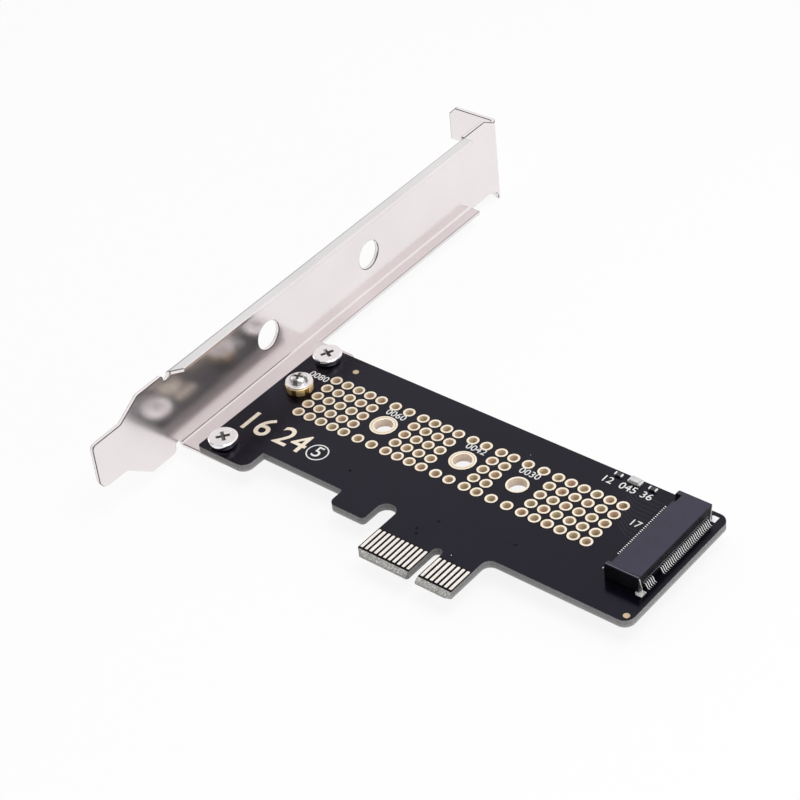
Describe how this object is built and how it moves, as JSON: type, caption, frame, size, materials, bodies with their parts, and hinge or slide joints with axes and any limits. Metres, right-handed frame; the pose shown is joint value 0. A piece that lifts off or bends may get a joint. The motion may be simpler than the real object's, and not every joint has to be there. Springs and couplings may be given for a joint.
{
  "type": "nvme adapter card",
  "caption": "Card-edge adapter board with an M.2 module socket, standoff and screw, a field of heat holes and a full-height folded slot bracket.",
  "frame": {"origin": "the module socket's datum on the board's top face, from which module lengths are measured", "axes": "+X away from the bracket along the board, +Y away from the card edge along the bracket, +Z the component side"},
  "size_m": [0.1084, 0.12, 0.0202],
  "materials": {
    "solder_mask": "black solder mask, satin gloss",
    "gold_copper": "gold flash on copper, satin",
    "bracket_steel": "nickel-plated sheet steel, satin",
    "screw_steel": "zinc-plated steel, bright",
    "standoff_brass": "turned brass, bright",
    "socket_plastic": "black moulded plastic, matte",
    "contact_metal": "tinned contact metal, satin",
    "solder_tin": "tinned end caps, satin",
    "resistor_black": "black glazed ceramic, satin",
    "led_white": "milky white, satin"
  },
  "bodies": {
    "root": {"circuit_board": "solder_mask", "edge_fingers_front": "gold_copper", "edge_fingers_back": "gold_copper", "module_hole_ring_30": "gold_copper", "module_hole_ring_42": "gold_copper", "module_hole_ring_60": "gold_copper", "module_hole_ring_80": "gold_copper", "fiducial_marks": "gold_copper", "bracket": "bracket_steel", "bracket_screws": "screw_steel", "standoff": "standoff_brass", "standoff_nut": "standoff_brass", "module_screw": "screw_steel", "socket_housing": "socket_plastic", "socket_rear_contacts": "contact_metal", "socket_front_contacts": "contact_metal", "socket_anchors": "contact_metal", "resistor_bodies": "resistor_black", "resistor_terminals": "solder_tin", "led_lens": "led_white", "led_terminals": "solder_tin"}
  },
  "joints": []
}
